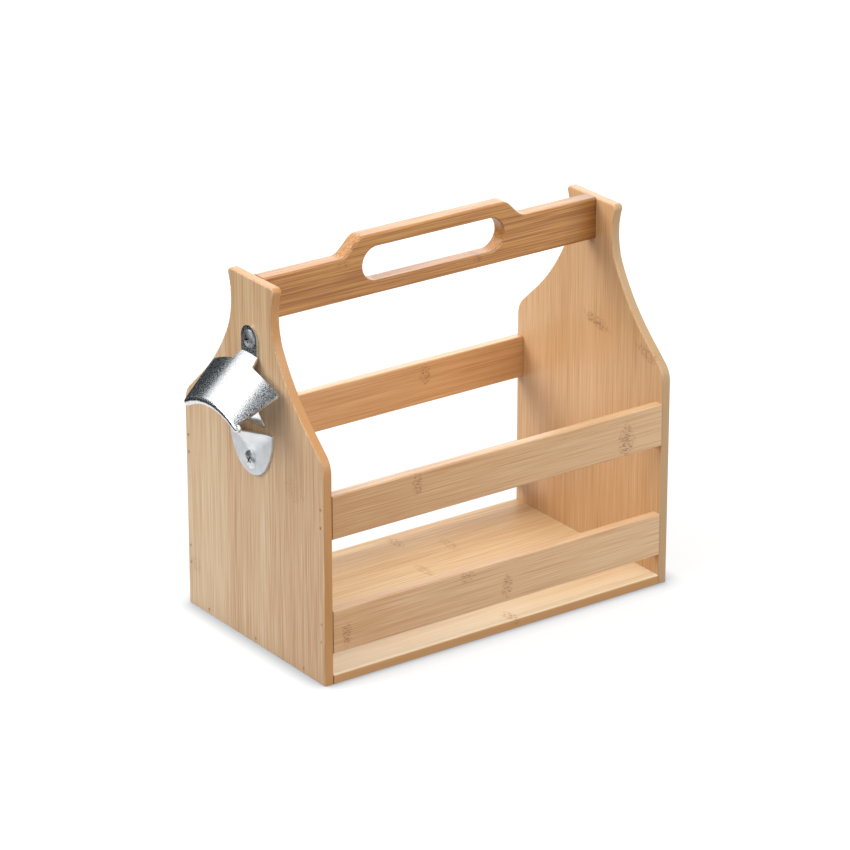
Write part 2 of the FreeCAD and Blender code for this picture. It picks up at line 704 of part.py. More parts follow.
def opener_hood():
    tab = box("tab_flat", TAB_FACE, "-dims.tab_half_width", "dims.bend_height - %s" % CREASE_OVERLAP,
              "dims.sheet_thick", "2 * dims.tab_half_width",
              "dims.upper_screw_height - dims.bend_height + %s" % CREASE_OVERLAP)
    dome = cylinder("tab_dome", "dims.tab_half_width", "dims.sheet_thick",
                    TAB_FACE, "0", "dims.upper_screw_height")
    whole = join("Part::MultiFuse", "hood_whole", [hood_sheet(), tab, dome] + rim_bead())
    hole = cylinder("tab_hole", "dims.screw_radius + dims.fit_gap", "3 * dims.sheet_thick",
                    TAB_FACE + " - dims.sheet_thick", "0", "dims.upper_screw_height")
    nodes.append(cut("opener_hood", whole, hole))


def shield():
    body = make_body("shield_flat")
    outline = make_sketch(body, "shield_outline", "YZ_Plane")
    half = dim("shield_half_width")
    radius = dim("shield_flank_radius")
    top = dim("lip_height")
    tip = top - math.sqrt(radius ** 2 - (radius - half) ** 2)
    normal = FreeCAD.Vector(0, 0, 1)
    near = Part.Circle(point(half - radius, top), normal, radius)
    far = Part.Circle(point(radius - half, top), normal, radius)
    outline.addGeometry([
        Part.LineSegment(point(half, top), point(-half, top)),
        Part.ArcOfCircle(far, far.parameter(point(-half, top)), far.parameter(point(0, tip))),
        Part.ArcOfCircle(near, near.parameter(point(0, tip)), 2 * math.pi),
    ], False)
    for corner in ((0, 2, 1, 1), (1, 2, 2, 1), (2, 2, 0, 1)):
        constrain(outline, "Coincident", *corner)
    constrain(outline, "Symmetric", 0, 1, 0, 2, -2)
    constrain(outline, "PointOnObject", 1, 2, -2)
    constrain(outline, "PointOnObject", 2, 3, 0)
    constrain(outline, "Equal", 1, 2)
    drive(outline, "DistanceY", (-1, 1, 0, 1), top, "dims.lip_height")
    drive(outline, "DistanceX", (-1, 1, 0, 1), half, "dims.shield_half_width")
    drive(outline, "Radius", (2,), radius, "dims.shield_flank_radius")
    pad(body, "shield_sheet", outline, "dims.sheet_thick")

    def tip_edge(edge):
        return along(edge, "x") and abs(middle(edge).y) < 0.1

    round_edges(body, "shield_tip", "dims.shield_tip_round", tip_edge)
    place(body, TAB_FACE, "0", "0")
    return body


def pocket_wedge(name, inward):
    # a prism along the pocket's ridge, which runs out from the shield to the lip
    lean = math.atan2(dim("lip_reach") - dim("pocket_foot_reach"), dim("lip_height") - dim("pocket_foot"))
    flattening = math.cos(lean)
    body = make_body(name)
    section = make_sketch(body, name + "_section", "XY_Plane")
    deep = POCKET_OVERLAP * dim("lip_reach") * flattening
    half = POCKET_OVERLAP * dim("shield_half_width")
    add_polygon(section, [point(0, 0), point(deep, -half), point(deep, half)])
    constrain(section, "Coincident", 0, 1, -1, 1)
    constrain(section, "Symmetric", 1, 1, 2, 1, -1)
    drive_place(section, 2, 1, deep, half, "%s * dims.lip_reach" % (POCKET_OVERLAP * flattening),
                "%s * dims.shield_half_width" % POCKET_OVERLAP)
    pad(body, name + "_prism", section, "2 * dims.lip_height", symmetric=True)

    def ridge(edge):
        return along(edge, "z") and abs(middle(edge).y) < 0.1

    round_edges(body, name + "_ridge", "dims.ridge_round", ridge)
    leaning = FreeCAD.Rotation(FreeCAD.Vector(0, 1, 0), -math.degrees(lean))
    place(body, "%s - dims.lip_reach + %s" % (WALL, inward), "0", "dims.lip_height", leaning)
    return body


def soften_crease(whole):
    # the pocket rises from the shield in a soft bend, not along a sharp crease
    doc.recompute()
    face = -dim("length") / 2 - dim("sheet_thick")
    rise = dim("lip_height") - dim("pocket_foot")

    def crease(edge):
        spot = middle(edge)
        on_face = max(abs(p.x - face) for p in [spot] + [vertex.Point for vertex in edge.Vertexes]) < 0.01
        share = (spot.z - dim("pocket_foot")) / rise
        inside = abs(spot.y) < share * dim("shield_half_width") + CREASE_ROOM
        return on_face and inside and 0 < share < BELOW_LIP

    chain = [k + 1 for k, edge in enumerate(whole.Shape.Edges) if crease(edge)]
    if not chain:
        raise RuntimeError("the scoop has no crease")
    blended = doc.addObject("Part::Fillet", "scoop_blend")
    blended.Base = whole
    blended.Edges = [(number, dim("crease_round"), dim("crease_round")) for number in chain]
    doc.recompute()
    return blended


def opener_scoop():
    room = box("scoop_room", WALL + " - 2 * dims.lip_reach", "-dims.depth / 2", "dims.lip_height / 2",
               "2 * dims.lip_reach", "dims.depth", "dims.lip_height / 2")
    pressed = join("Part::MultiCommon", "pocket_outside", [pocket_wedge("pocket_wedge", "0"), room])
    whole = join("Part::MultiFuse", "scoop_whole", [shield(), pressed])
    blended = soften_crease(whole)
    shell = cut("scoop_shell", blended, pocket_wedge("pocket_hollow", "dims.pocket_wall"))
    hole = cylinder("scoop_hole", "dims.screw_radius + dims.fit_gap", "3 * dims.sheet_thick",
                    WALL + " - 2 * dims.sheet_thick", "0", "dims.lower_screw_height")
    nodes.append(cut("opener_scoop", shell, hole))


def stay_strip():
    body = make_body("strip_flat")
    outline = make_sketch(body, "strip_outline", "YZ_Plane")
    corners = (("foot_bottom_half_width", "foot_bottom"), ("foot_half_width", "foot_height"),
               ("strip_half_width", "strip_flare"), ("strip_half_width", "strip_top"))
    add_symmetric_polygon(outline, [(dim(y), dim(z), "dims." + y, "dims." + z) for y, z in corners], -2)
    pad(body, "strip_sheet", outline, "dims.sheet_thick")
    place(body, TAB_FACE, "0", "0")
    return body


def strut():
    # the strip's top bends out and ends square on the hood's underside
    bent = doc.addObject("Part::Box", "strut_flat")
    for property_name, expression in (("Length", "dims.sheet_thick"), ("Width", "2 * dims.strip_half_width"),
                                      ("Height", "dims.strut_length")):
        bent.setExpression(property_name, expression)
    lean = FreeCAD.Rotation(FreeCAD.Vector(0, 1, 0), -STRUT_ANGLE)
    sunk = "dims.sheet_thick * %s" % math.cos(math.radians(STRUT_ANGLE))
    place(bent, "%s - %s" % (WALL, sunk), "-dims.strip_half_width", "dims.strip_top - " + sunk, lean)
    return join("Part::MultiCommon", "strut", [bent, hood_arch("strut_room", (1,))])


def opener_stay():
    nodes.append(join("Part::MultiFuse", "opener_stay", [stay_strip(), strut()]))


def opener_screw(label, seat, height, turn):
    body = make_body(label)
    radius = dim("screw_head_radius")
    shank = dim("screw_radius")
    top = dim("screw_head_height")
    side = dim("screw_head_side")
    length = dim("screw_length")
    taper = length - dim("screw_tip")
    dome_radius = (radius ** 2 + (top - side) ** 2) / (2 * (top - side))
    profile = make_sketch(body, label + "_profile", "XZ_Plane")
    dome = Part.Circle(point(0, top - dome_radius), FreeCAD.Vector(0, 0, 1), dome_radius)
    corners = [point(radius, side), point(radius, 0), point(shank, 0), point(shank, -taper),
               point(0, -length), point(0, top)]
    for start, end in zip(corners[:-1], corners[1:]):
        profile.addGeometry(Part.LineSegment(start, end), False)
    profile.addGeometry(Part.ArcOfCircle(dome, dome.parameter(corners[0]), math.pi / 2), False)
    for k in range(4):
        constrain(profile, "Coincident", k, 2, k + 1, 1)
    constrain(profile, "Coincident", 5, 1, 0, 1)
    constrain(profile, "Coincident", 5, 2, 4, 2)
    constrain(profile, "Vertical", 0)
    constrain(profile, "Horizontal", 1)
    constrain(profile, "Vertical", 2)
    constrain(profile, "PointOnObject", 1, 1, -1)
    for geometry, end in ((4, 1), (4, 2), (5, 3)):
        constrain(profile, "PointOnObject", geometry, end, -2)
    drive(profile, "DistanceX", (-1, 1, 0, 1), radius, "dims.screw_head_radius")
    drive(profile, "DistanceY", (-1, 1, 0, 1), side, "dims.screw_head_side")
    drive(profile, "DistanceX", (-1, 1, 2, 1), shank, "dims.screw_radius")
    drive(profile, "DistanceY", (2, 2, 2, 1), taper, "dims.screw_length - dims.screw_tip")
    drive(profile, "DistanceY", (4, 1, -1, 1), length, "dims.screw_length")
    drive(profile, "DistanceY", (-1, 1, 4, 2), top, "dims.screw_head_height")
    turned = body.newObject("PartDesign::Revolution", label + "_turned")
    turned.Profile = profile
    turned.ReferenceAxis = (profile, ["V_Axis"])
    turned.Angle = 360
    doc.recompute()
    slots = (("dims.drive_length", "dims.drive_width"), ("dims.drive_width", "dims.drive_length"))
    for k, (across, deep) in enumerate(slots):
        slot = make_sketch(body, "%s_drive%d" % (label, k), "XY_Plane", "dims.screw_head_height")
        sizes = [dim(name.split(".")[1]) for name in (across, deep)]
        add_rectangle(slot, *sizes, across, deep)
        pocket(body, "%s_slot%d" % (label, k), slot, "dims.drive_depth")
    facing = AGAINST_X.multiply(FreeCAD.Rotation(FreeCAD.Vector(0, 0, 1), dim(turn)))
    place(body, seat, "0", "dims." + height, facing)
    nodes.append(body)


end_panel("left_end_panel", -1)
end_panel("right_end_panel", 1)
base_board()
for slat_label, (slat_side, slat_bottom) in SLAT_LAYOUT.items():
    slat(slat_label, slat_side, slat_bottom)
handle_board()
brad_groups()
handle_dowels()
opener_hood()
opener_stay()
opener_scoop()
opener_screw("opener_upper_screw", TAB_FACE, "upper_screw_height", "upper_screw_turn")
opener_screw("opener_lower_screw", TAB_FACE, "lower_screw_height", "lower_screw_turn")
doc.recompute()

for item in doc.Objects:
    if "Invalid" in item.State or "Error" in item.State:
        raise RuntimeError("%s failed: %s" % (item.Label, item.State))
for node in nodes:
    if node.Shape.isNull() or not node.Shape.isValid() or not node.Shape.Solids:
        raise RuntimeError("%s has no valid solid" % node.Label)

os.makedirs("parts", exist_ok=True)
for node in nodes:
    node.Shape.exportStep("parts/%s.step" % node.Label)
    print("%-26s solids %d  volume %9.1f mm3" % (node.Label, len(node.Shape.Solids), node.Shape.Volume))
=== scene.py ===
import math

import bpy
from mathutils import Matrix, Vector


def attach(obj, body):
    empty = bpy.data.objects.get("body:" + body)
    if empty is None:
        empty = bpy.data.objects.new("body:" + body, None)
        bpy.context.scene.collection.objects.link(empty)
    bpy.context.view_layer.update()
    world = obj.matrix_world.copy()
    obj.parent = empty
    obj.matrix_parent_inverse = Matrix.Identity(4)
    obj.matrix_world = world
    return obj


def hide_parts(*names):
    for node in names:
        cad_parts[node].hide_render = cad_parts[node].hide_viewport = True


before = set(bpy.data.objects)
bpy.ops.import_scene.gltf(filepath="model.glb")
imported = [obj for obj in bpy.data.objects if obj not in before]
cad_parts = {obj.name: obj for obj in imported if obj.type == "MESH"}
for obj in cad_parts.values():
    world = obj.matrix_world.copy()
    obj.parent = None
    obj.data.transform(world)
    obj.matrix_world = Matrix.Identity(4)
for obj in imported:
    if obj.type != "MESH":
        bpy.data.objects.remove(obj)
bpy.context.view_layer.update()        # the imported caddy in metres: length along X, front at -Y, opener at -X
print("frame loaded:", len(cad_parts), "nodes")

metresToMm = 1000.0      # object coordinates are metres, every pattern is sized in millimetres


def hexColour(text):
    # sRGB hex to the linear values that a socket takes
    channels = [int(text[start:start + 2], 16) / 255 for start in (1, 3, 5)]
    linear = [c / 12.92 if c <= 0.04045 else ((c + 0.055) / 1.055) ** 2.4 for c in channels]
    return (*linear, 1.0)


def addNode(tree, kind, inputs=None, **settings):
    # one node with its settings, its plain values and its links
    node = tree.nodes.new(kind)
    for name, value in settings.items():
        setattr(node, name, value)
    for socket, value in (inputs or {}).items():
        if isinstance(value, bpy.types.NodeSocket):
            tree.links.new(value, node.inputs[socket])
        else:
            node.inputs[socket].default_value = value
    return node


def newMaterial(name):
    material = bpy.data.materials.new(name)
    material.use_nodes = True
    material.node_tree.nodes.clear()
    return material, material.node_tree


def dress(piece, material):
    piece.data.materials.clear()
    piece.data.materials.append(material)


# Laminated bamboo, sanded and wiped with a thin clear lacquer. Long fibres give fine dark lines,
# each glued strip has its own tone, and the culm's knuckles leave patches of short dark dashes.
bambooGrain = {
    "bands": {"length": 260.0, "width": 9.0},        # slow changes of tone inside a strip, in mm
    "streaks": {"length": 150.0, "width": 1.7},      # bundles of fibres
    "fibres": {"length": 55.0, "width": 0.6},        # single dark vessels, drawn coarser than real
    "noise": {"detail": 2.0, "roughness": 0.55},     # of the three patterns above
    "seedShift": 1.7,                                # a seed moves the grain further across than along
    "toneRange": (0.18, 0.5, 0.82),                  # where the dark, middle and pale colours sit
    # cut edges darken partly as end grain and partly as painted shade of faces turned from the light
    "cutEdge": {"from": 0.75, "to": 0.35, "depth": 0.85},            # how flat a face has to be to stay pale
    "knuckle": {"ripple": 3.0, "wander": 0.9, "rim": (1.55, 1.0)},   # an oval with a ragged outline
    "dashes": {"length": 2.6, "width": 0.9, "rim": (0.55, 0.25), "between": 0.1},     # dots of a knuckle
    # the joint's dark line is painted shade of the narrow gap at a butted end
    "joint": {"width": 0.8, "colour": "#5E4024", "depth": 0.35},     # dark line at a butted end
    "ior": 1.5,
    "specular": 0.5,
    "roughness": (0.34, 0.46),
    "lacquer": {"weight": 0.4, "roughness": 0.28},   # pale sheen where the boards are seen at a slant
    "bump": {"strength": 0.5, "height": 0.00006},
}


def grainTone(tree, look, along, across, fibre):
    # from dark to pale as one value: each glued strip's own tone, then long noise from broad to fine
    strip = addNode(tree, "ShaderNodeMath", {0: across, 1: 1 / look["stripWidth"], 2: look["stripStart"]},
                    operation="MULTIPLY_ADD")
    number = addNode(tree, "ShaderNodeMath", {0: strip.outputs[0]}, operation="FLOOR")
    stripTone = addNode(tree, "ShaderNodeTexWhiteNoise", {"W": number.outputs[0]}, noise_dimensions="1D")
    weights = look["weights"]
    start = 0.5 - 0.5 * sum(weights.values())        # keeps the mean tone at one half
    tone = addNode(tree, "ShaderNodeMath", {0: stripTone.outputs["Value"], 1: weights["strips"], 2: start},
                   operation="MULTIPLY_ADD")
    shift = (look["seed"], look["seed"] * bambooGrain["seedShift"], 0)
    for pattern in ("bands", "streaks", "fibres"):
        grain = bambooGrain[pattern]
        stretch = addNode(tree, "ShaderNodeMapping",
                          {"Vector": fibre, "Location": shift,
                           "Scale": (1 / grain["length"], 1 / grain["width"], 1 / grain["width"])})
        noise = addNode(tree, "ShaderNodeTexNoise",
                        {"Vector": stretch.outputs[0], "Scale": 1.0, "Detail": bambooGrain["noise"]["detail"],
                         "Roughness": bambooGrain["noise"]["roughness"]})
        tone = addNode(tree, "ShaderNodeMath",
                       {0: noise.outputs[0], 1: weights[pattern], 2: tone.outputs[0]},
                       operation="MULTIPLY_ADD")

    # painted light: the tone changes steadily along or across a board, paler where more light falls on it
    for way, paintedLightDrift in ((along, "paintedLightDrift"), (across, "paintedLightCrossDrift")):
        if paintedLightDrift in look:
            tone = addNode(tree, "ShaderNodeMath", {0: way, 1: look[paintedLightDrift], 2: tone.outputs[0]},
                           operation="MULTIPLY_ADD")
    return tone.outputs[0]


def edgeGrainAndShade(tree, look, colour):
    # edges darken: end grain is darker wood, and on side-grain edges the darkening is painted shade of faces
    # turned away from the light
    cut = bambooGrain["cutEdge"]
    facing = addNode(tree, "ShaderNodeNewGeometry")
    parts = addNode(tree, "ShaderNodeSeparateXYZ", {0: facing.outputs["Normal"]})
    flatness = addNode(tree, "ShaderNodeMath", {0: parts.outputs[look["fibre"][2]]}, operation="ABSOLUTE")
    edge = addNode(tree, "ShaderNodeMapRange",
                   {"Value": flatness.outputs[0], "From Min": cut["from"], "From Max": cut["to"],
                    "To Min": 0.0, "To Max": cut["depth"]}, interpolation_type="SMOOTHSTEP")
    darkened = addNode(tree, "ShaderNodeMix",
                       {0: edge.outputs[0], 6: colour, 7: hexColour(look["edgeColour"])}, data_type="RGBA")
    return darkened.outputs[2]


def knuckleMarks(tree, look, fibre, colour):
    # short dark dashes inside wandering ovals
    shape = bambooGrain["knuckle"]
    wander = addNode(tree, "ShaderNodeTexNoise",
                     {"Vector": fibre, "Scale": 1 / shape["ripple"], "Detail": 1.0})
    outline, core = shape["rim"]
    patch = 0.0
    for knuckle in look["knuckles"]:
        oval = addNode(tree, "ShaderNodeMapping",
                       {"Vector": fibre, "Location": (knuckle["along"], knuckle["across"], 0),
                        "Rotation": (0, 0, math.radians(knuckle.get("slant", 0))),
                        "Scale": (knuckle["tall"] / 2, knuckle["wide"] / 2, metresToMm)},
                       vector_type="TEXTURE")
        reach = addNode(tree, "ShaderNodeVectorMath", {0: oval.outputs[0]}, operation="LENGTH")
        ragged = addNode(tree, "ShaderNodeMath",
                         {0: wander.outputs[0], 1: shape["wander"], 2: reach.outputs["Value"]},
                         operation="MULTIPLY_ADD")
        inside = addNode(tree, "ShaderNodeMapRange",
                         {"Value": ragged.outputs[0], "From Min": outline, "From Max": core,
                          "To Min": 0.0, "To Max": knuckle["depth"]}, interpolation_type="SMOOTHSTEP")
        joined = addNode(tree, "ShaderNodeMath", {0: patch, 1: inside.outputs[0]}, operation="MAXIMUM")
        patch = joined.outputs[0]
    dashes = bambooGrain["dashes"]
    dotEdge, dotCore = dashes["rim"]
    spread = addNode(tree, "ShaderNodeMapping",
                     {"Vector": fibre,
                      "Scale": (1 / dashes["length"], 1 / dashes["width"], 1 / dashes["width"])})
    dots = addNode(tree, "ShaderNodeTexVoronoi", {"Vector": spread.outputs[0], "Scale": 1.0})
    spot = addNode(tree, "ShaderNodeMapRange",
                   {"Value": dots.outputs["Distance"], "From Min": dotEdge, "From Max": dotCore,
                    "To Min": dashes["between"], "To Max": 1.0}, interpolation_type="SMOOTHSTEP")
    strength = addNode(tree, "ShaderNodeMath", {0: patch, 1: spot.outputs[0]}, operation="MULTIPLY")
    marked = addNode(tree, "ShaderNodeMix",
                     {0: strength.outputs[0], 6: colour, 7: hexColour(look["knuckleColour"])},
                     data_type="RGBA")
    return marked.outputs[2]


def jointShadeAndEndTone(tree, look, along, colour):
    # boards that butt against the end panels get a thin dark line there, painted shade of the narrow gap at the
    # joint
    joint = bambooGrain["joint"]
    end = metresToMm * max(vertex.co.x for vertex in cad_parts[look["node"]].data.vertices)
    fromMiddle = addNode(tree, "ShaderNodeMath", {0: along}, operation="ABSOLUTE")
    atEnd = addNode(tree, "ShaderNodeMapRange",
                    {"Value": fromMiddle.outputs[0], "From Min": end - joint["width"], "From Max": end,
                     "To Min": 0.0, "To Max": joint["depth"]})
    lined = addNode(tree, "ShaderNodeMix",
                    {0: atEnd.outputs[0], 6: colour, 7: hexColour(joint["colour"])}, data_type="RGBA")
    if "darkerTowardsEnd" not in look:
        return lined.outputs[2]

    # the handle's colour darkens towards its +X end, into its knuckle colour
    shaded = look["darkerTowardsEnd"]
    towardsEnd = addNode(tree, "ShaderNodeMapRange",
                         {"Value": along, "From Min": shaded["from"], "From Max": shaded["to"],
                          "To Min": 0.0, "To Max": shaded["depth"]}, interpolation_type="SMOOTHSTEP")
    deepened = addNode(tree, "ShaderNodeMix",
                       {0: towardsEnd.outputs[0], 6: lined.outputs[2], 7: hexColour(look["knuckleColour"])},
                       data_type="RGBA")
    return deepened.outputs[2]


def bambooMaterial(look):
    material, tree = newMaterial(look["finish"])
    place = addNode(tree, "ShaderNodeTexCoord")
    size = addNode(tree, "ShaderNodeVectorMath", {0: place.outputs["Object"], "Scale": metresToMm},
                   operation="SCALE")
    axes = addNode(tree, "ShaderNodeSeparateXYZ", {0: size.outputs[0]})
    along, across, through = (axes.outputs[letter] for letter in look["fibre"])
    fibre = addNode(tree, "ShaderNodeCombineXYZ", {0: along, 1: across, 2: through}).outputs[0]

    tone = grainTone(tree, look, along, across, fibre)
    low, centre, high = bambooGrain["toneRange"]
    ramp = addNode(tree, "ShaderNodeValToRGB", {0: tone})
    ramp.color_ramp.elements[0].position = low
    ramp.color_ramp.elements[0].color = hexColour(look["dark"])
    ramp.color_ramp.elements[1].position = high
    ramp.color_ramp.elements[1].color = hexColour(look["pale"])
    ramp.color_ramp.elements.new(centre).color = hexColour(look["middle"])
    colour = ramp.outputs[0]
    if "edgeColour" in look:
        colour = edgeGrainAndShade(tree, look, colour)
    colour = knuckleMarks(tree, look, fibre, colour)
    if look["fibre"].startswith("X"):
        colour = jointShadeAndEndTone(tree, look, along, colour)

    smooth, coarse = bambooGrain["roughness"]
    gloss = addNode(tree, "ShaderNodeMapRange",
                    {"Value": tone, "From Min": low, "From Max": high, "To Min": coarse, "To Max": smooth})
    bump = addNode(tree, "ShaderNodeBump",
                   {"Height": tone, "Strength": bambooGrain["bump"]["strength"],
                    "Distance": bambooGrain["bump"]["height"]})
    lacquer = bambooGrain["lacquer"]
    shader = addNode(tree, "ShaderNodeBsdfPrincipled",
                     {"Base Color": colour, "Roughness": gloss.outputs[0], "Normal": bump.outputs[0],
                      "IOR": bambooGrain["ior"],
                      "Specular IOR Level": look.get("specular", bambooGrain["specular"]),
                      "Coat Weight": look.get("lacquer", lacquer["weight"]),
                      "Coat Roughness": lacquer["roughness"]})
    addNode(tree, "ShaderNodeOutputMaterial", {"Surface": shader.outputs[0]})
    return material


# fibre gives the axes along, across and through the board. Knuckles are placed in the same order, in mm.
# The drifts are painted light, the change of tone for each mm along or across, and lacquer and specular replace
# the usual ones.
boards = [
    # the left panel's paler, greyer colours are the bamboo's tone with a painted sheen from the white floor on
    # top
    {"node": "left_end_panel", "finish": "sandedBambooLeftPanel", "fibre": "ZYX",
     "dark": "#AA7E58", "middle": "#BE9E78", "pale": "#D0B798", "knuckleColour": "#825935",
     "edgeColour": "#B98246",
     "stripWidth": 24.0, "stripStart": 0.75, "lacquer": 0.15, "seed": 3.1,
     "weights": {"strips": 0.2, "bands": 0.25, "streaks": 0.35, "fibres": 1.3},
     "knuckles": [{"along": 29.9, "across": 70.8, "tall": 13, "wide": 16, "depth": 0.35},
                  {"along": 123.0, "across": -46.5, "tall": 18, "wide": 26, "depth": 0.30}]},
    {"node": "right_end_panel", "finish": "sandedBambooRightPanel", "fibre": "ZYX",
     "dark": "#B78654", "middle": "#CDA477", "pale": "#DAB78F", "knuckleColour": "#85572D",
     "edgeColour": "#B2926B",
     "stripWidth": 26.0, "stripStart": 0.2, "lacquer": 0.15, "seed": 8.4,
     "weights": {"strips": 0.12, "bands": 0.2, "streaks": 0.25, "fibres": 1.1},
     "knuckles": [{"along": 164.8, "across": -8.9, "tall": 10, "wide": 30, "slant": -14, "depth": 0.76},
                  {"along": 158.7, "across": -61.9, "tall": 10, "wide": 24, "slant": -18, "depth": 0.66}]},
    {"node": "base_board", "finish": "sandedBambooBase", "fibre": "XYZ",
     "dark": "#C9A376", "middle": "#DEC198", "pale": "#E7D4B5", "knuckleColour": "#A7794D",
     "edgeColour": "#B9844F",
     "stripWidth": 26.0, "stripStart": 0.4, "lacquer": 0.05, "specular": 0.2, "paintedLightDrift": -0.0005,
     "paintedLightCrossDrift": -0.0032, "seed": 12.7,
     "weights": {"strips": 0.1, "bands": 0.3, "streaks": 0.4, "fibres": 1.1},
     "knuckles": [{"along": 19.0, "across": 66.3, "tall": 10, "wide": 22, "depth": 0.75},
                  {"along": 47.2, "across": 42.6, "tall": 10, "wide": 26, "depth": 0.55},
                  {"along": 8.8, "across": 18.0, "tall": 9, "wide": 24, "depth": 0.65},
                  {"along": 12.0, "across": -73.0, "tall": 10, "wide": 18, "depth": 0.75}]},
    {"node": "front_upper_slat", "finish": "sandedBambooFrontUpperSlat", "fibre": "XZY",
     "dark": "#B17E4C", "middle": "#C4996A", "pale": "#D4AF86", "knuckleColour": "#82562A",
     "stripWidth": 40.0, "stripStart": 0.3, "paintedLightDrift": 0.0016, "lacquer": 0.5, "seed": 21.3,
     "weights": {"strips": 0.06, "bands": 0.2, "streaks": 0.3, "fibres": 1.3},
     "knuckles": [{"along": -65.6, "across": 121.0, "tall": 9, "wide": 17, "depth": 0.81},
                  {"along": 101.8, "across": 110.1, "tall": 15, "wide": 26, "depth": 0.81}]},
    {"node": "front_lower_slat", "finish": "sandedBambooFrontLowerSlat", "fibre": "XZY",
     "dark": "#BC8C5D", "middle": "#CFA67C", "pale": "#DFBF97", "knuckleColour": "#8C5E33",
     "stripWidth": 40.0, "stripStart": 0.6, "paintedLightDrift": 0.0008, "seed": 33.9,
     "weights": {"strips": 0.06, "bands": 0.2, "streaks": 0.3, "fibres": 1.3},
     "knuckles": [{"along": -120.4, "across": 32.3, "tall": 8, "wide": 21, "depth": 0.76},
                  {"along": 5.5, "across": 31.0, "tall": 9, "wide": 19, "depth": 0.76},
                  {"along": -26.3, "across": 46.7, "tall": 13, "wide": 8, "depth": 0.70}]},
    {"node": "rear_upper_slat", "finish": "sandedBambooRearUpperSlat", "fibre": "XZY",
     "dark": "#AB7442", "middle": "#C59564", "pale": "#D8AC7E", "knuckleColour": "#7C5025",
     "stripWidth": 40.0, "stripStart": 0.1, "lacquer": 0.6, "seed": 41.2,
     "weights": {"strips": 0.06, "bands": 0.25, "streaks": 0.25, "fibres": 1.0},
     "knuckles": [{"along": 48.6, "across": 119.6, "tall": 10, "wide": 16, "depth": 0.76}]},
    {"node": "rear_lower_slat", "finish": "sandedBambooRearLowerSlat", "fibre": "XZY",
     "dark": "#B07D4A", "middle": "#C79B6B", "pale": "#D8B386", "knuckleColour": "#7F5229",
     "stripWidth": 40.0, "stripStart": 0.8, "seed": 57.6,
     "weights": {"strips": 0.06, "bands": 0.25, "streaks": 0.25, "fibres": 1.0},
     "knuckles": [{"along": -88.0, "across": 36.0, "tall": 9, "wide": 18, "depth": 0.70}]},
    {"node": "handle_board", "finish": "sandedBambooHandle", "fibre": "XZY",
     "dark": "#8B511A", "middle": "#AD7534", "pale": "#C38F4A", "knuckleColour": "#67380E",
     "stripWidth": 60.0, "stripStart": 0.3, "seed": 66.8,
     "darkerTowardsEnd": {"from": 98.0, "to": 131.0, "depth": 0.55},
     "weights": {"strips": 0.05, "bands": 0.3, "streaks": 0.55, "fibres": 1.7},
     "knuckles": [{"along": 34.5, "across": 229.2, "tall": 8, "wide": 7, "depth": 0.81},
                  {"along": -71.0, "across": 247.2, "tall": 10, "wide": 8, "depth": 0.51}]},
]
for board in boards:
    dress(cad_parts[board["node"]], bambooMaterial(board))
print("bamboo boards dressed:", len(boards))


# Dowels turned from a denser pale hardwood, unfinished where they sit in their holes
dowelLook = {"nodes": ["left_handle_dowels", "right_handle_dowels"], "dark": "#B9935F", "pale": "#D9BC8C",
             "ringWidth": 0.9, "ringLength": 10.8, "toneRange": (0.3, 0.7), "roughness": 0.62,
             "bump": {"strength": 0.4, "height": 0.0001}}


def dowelMaterial(look):
    material, tree = newMaterial("turnedHardwoodDowel")
    place = addNode(tree, "ShaderNodeTexCoord")
    thin = metresToMm / look["ringWidth"]
    stretch = addNode(tree, "ShaderNodeMapping",
                      {"Vector": place.outputs["Object"],
                       "Scale": (metresToMm / look["ringLength"], thin, thin)})
    noise = addNode(tree, "ShaderNodeTexNoise", {"Vector": stretch.outputs[0], "Scale": 1.0, "Detail": 2.0})
    ramp = addNode(tree, "ShaderNodeValToRGB", {0: noise.outputs[0]})
    ramp.color_ramp.elements[0].position = look["toneRange"][0]
    ramp.color_ramp.elements[0].color = hexColour(look["dark"])
    ramp.color_ramp.elements[1].position = look["toneRange"][1]
    ramp.color_ramp.elements[1].color = hexColour(look["pale"])
    bump = addNode(tree, "ShaderNodeBump",
                   {"Height": noise.outputs[0], "Strength": look["bump"]["strength"],
                    "Distance": look["bump"]["height"]})
    shader = addNode(tree, "ShaderNodeBsdfPrincipled",
                     {"Base Color": ramp.outputs[0], "Roughness": look["roughness"],
                      "Normal": bump.outputs[0]})
    addNode(tree, "ShaderNodeOutputMaterial", {"Surface": shader.outputs[0]})
    return material


dowelWood = dowelMaterial(dowelLook)
for node in dowelLook["nodes"]:
    dress(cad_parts[node], dowelWood)


